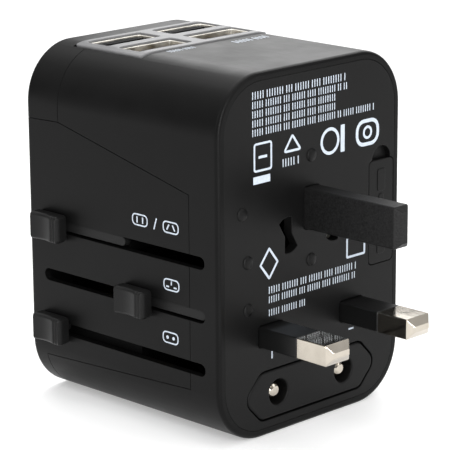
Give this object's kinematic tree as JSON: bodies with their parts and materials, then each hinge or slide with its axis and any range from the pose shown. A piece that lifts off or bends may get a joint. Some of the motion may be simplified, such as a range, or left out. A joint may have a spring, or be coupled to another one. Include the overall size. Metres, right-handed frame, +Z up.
{
  "type": "universal travel adapter",
  "caption": "Block-shaped travel adapter with slide-out UK, US/AUS and EU pins on one face, a shuttered universal socket on the opposite face and USB outlets on top.",
  "frame": {"origin": "middle of the bottom face", "axes": "+Z up towards the USB outlets, +Y out of the plug face, +X towards the three sliders"},
  "size_m": [0.0525, 0.0745, 0.0695],
  "materials": {
    "shell": "satin, finely textured",
    "plate": "satin",
    "knob": "satin",
    "bezel": "silver satin",
    "nickel": "nickel plated",
    "brass": "bare",
    "sleeve": "smooth",
    "earth": "satin",
    "inner": "moulded",
    "fuse": "glass with metal caps",
    "steel": "plated",
    "board": "solder mask",
    "winding": "insulating tape over a ferrite core",
    "can": "sleeved can"
  },
  "bodies": {
    "housing": {"rear_housing": "shell", "front_housing": "shell", "front_crown": "shell", "plug_plate": "plate", "socket_plate": "plate", "eu_guide_block": "plate", "fuse_tray": "inner", "spare_fuse": "fuse", "main_fuse": "fuse", "usb_bezel": "bezel", "usb_port_1": "steel", "usb_port_2": "steel", "usb_port_3": "steel", "usb_port_4": "steel", "usb_board": "board", "transformer": "winding", "capacitor_left": "can", "capacitor_right": "can", "board_screw_left": "steel", "board_screw_right": "steel", "shutter_spring_left": "steel", "shutter_spring_right": "steel", "live_clip": "brass", "neutral_clip": "brass", "earth_clip": "brass", "chassis": "inner", "live_bar": "brass", "neutral_bar": "brass"},
    "uk_plug": {"uk_knob": "knob", "uk_carriage": "inner", "uk_live_pin": "nickel", "uk_neutral_pin": "nickel", "uk_live_sleeve": "sleeve", "uk_neutral_sleeve": "sleeve", "uk_earth_pin": "earth"},
    "us_plug": {"us_knob": "knob", "us_carriage": "inner"},
    "us_blade_live_body": {"us_blade_live": "nickel"},
    "us_blade_neutral_body": {"us_blade_neutral": "nickel"},
    "eu_plug": {"eu_knob": "knob", "eu_carriage": "inner", "eu_pin_live": "nickel", "eu_pin_neutral": "nickel", "eu_sleeve_live": "sleeve", "eu_sleeve_neutral": "sleeve"},
    "fuse_lid": {"fuse_door": "plate"},
    "shutter": {"socket_shutter": "inner"}
  },
  "joints": [
    {"name": "uk_slide", "type": "slide", "parent": "housing", "child": "uk_plug", "axis": [0, 1, 0], "range_m": [-0.0234, 0]},
    {"name": "us_slide", "type": "slide", "parent": "housing", "child": "us_plug", "axis": [0, 1, 0], "range_m": [0, 0.021]},
    {"name": "eu_slide", "type": "slide", "parent": "housing", "child": "eu_plug", "axis": [0, 1, 0], "range_m": [0, 0.0197]},
    {"name": "us_swivel_live", "type": "hinge", "parent": "us_plug", "child": "us_blade_live_body", "pos_m": [0.00635, 0.0121, 0.0376], "axis": [0, 1, 0], "range_deg": [0, 30]},
    {"name": "us_swivel_neutral", "type": "hinge", "parent": "us_plug", "child": "us_blade_neutral_body", "pos_m": [-0.00635, 0.0121, 0.0376], "axis": [0, -1, 0], "range_deg": [0, 30]},
    {"name": "fuse_door_hinge", "type": "hinge", "parent": "housing", "child": "fuse_lid", "pos_m": [-0.01945, 0.0256, 0.0272], "axis": [-1, 0, 0], "range_deg": [0, 80]},
    {"name": "shutter_slide", "type": "slide", "parent": "housing", "child": "shutter", "axis": [0, 0, 1], "range_m": [0, 0.0055], "stiffness_N_per_m": 120, "springref_m": -0.001, "deforming": ["shutter_spring_left", "shutter_spring_right"]}
  ]
}
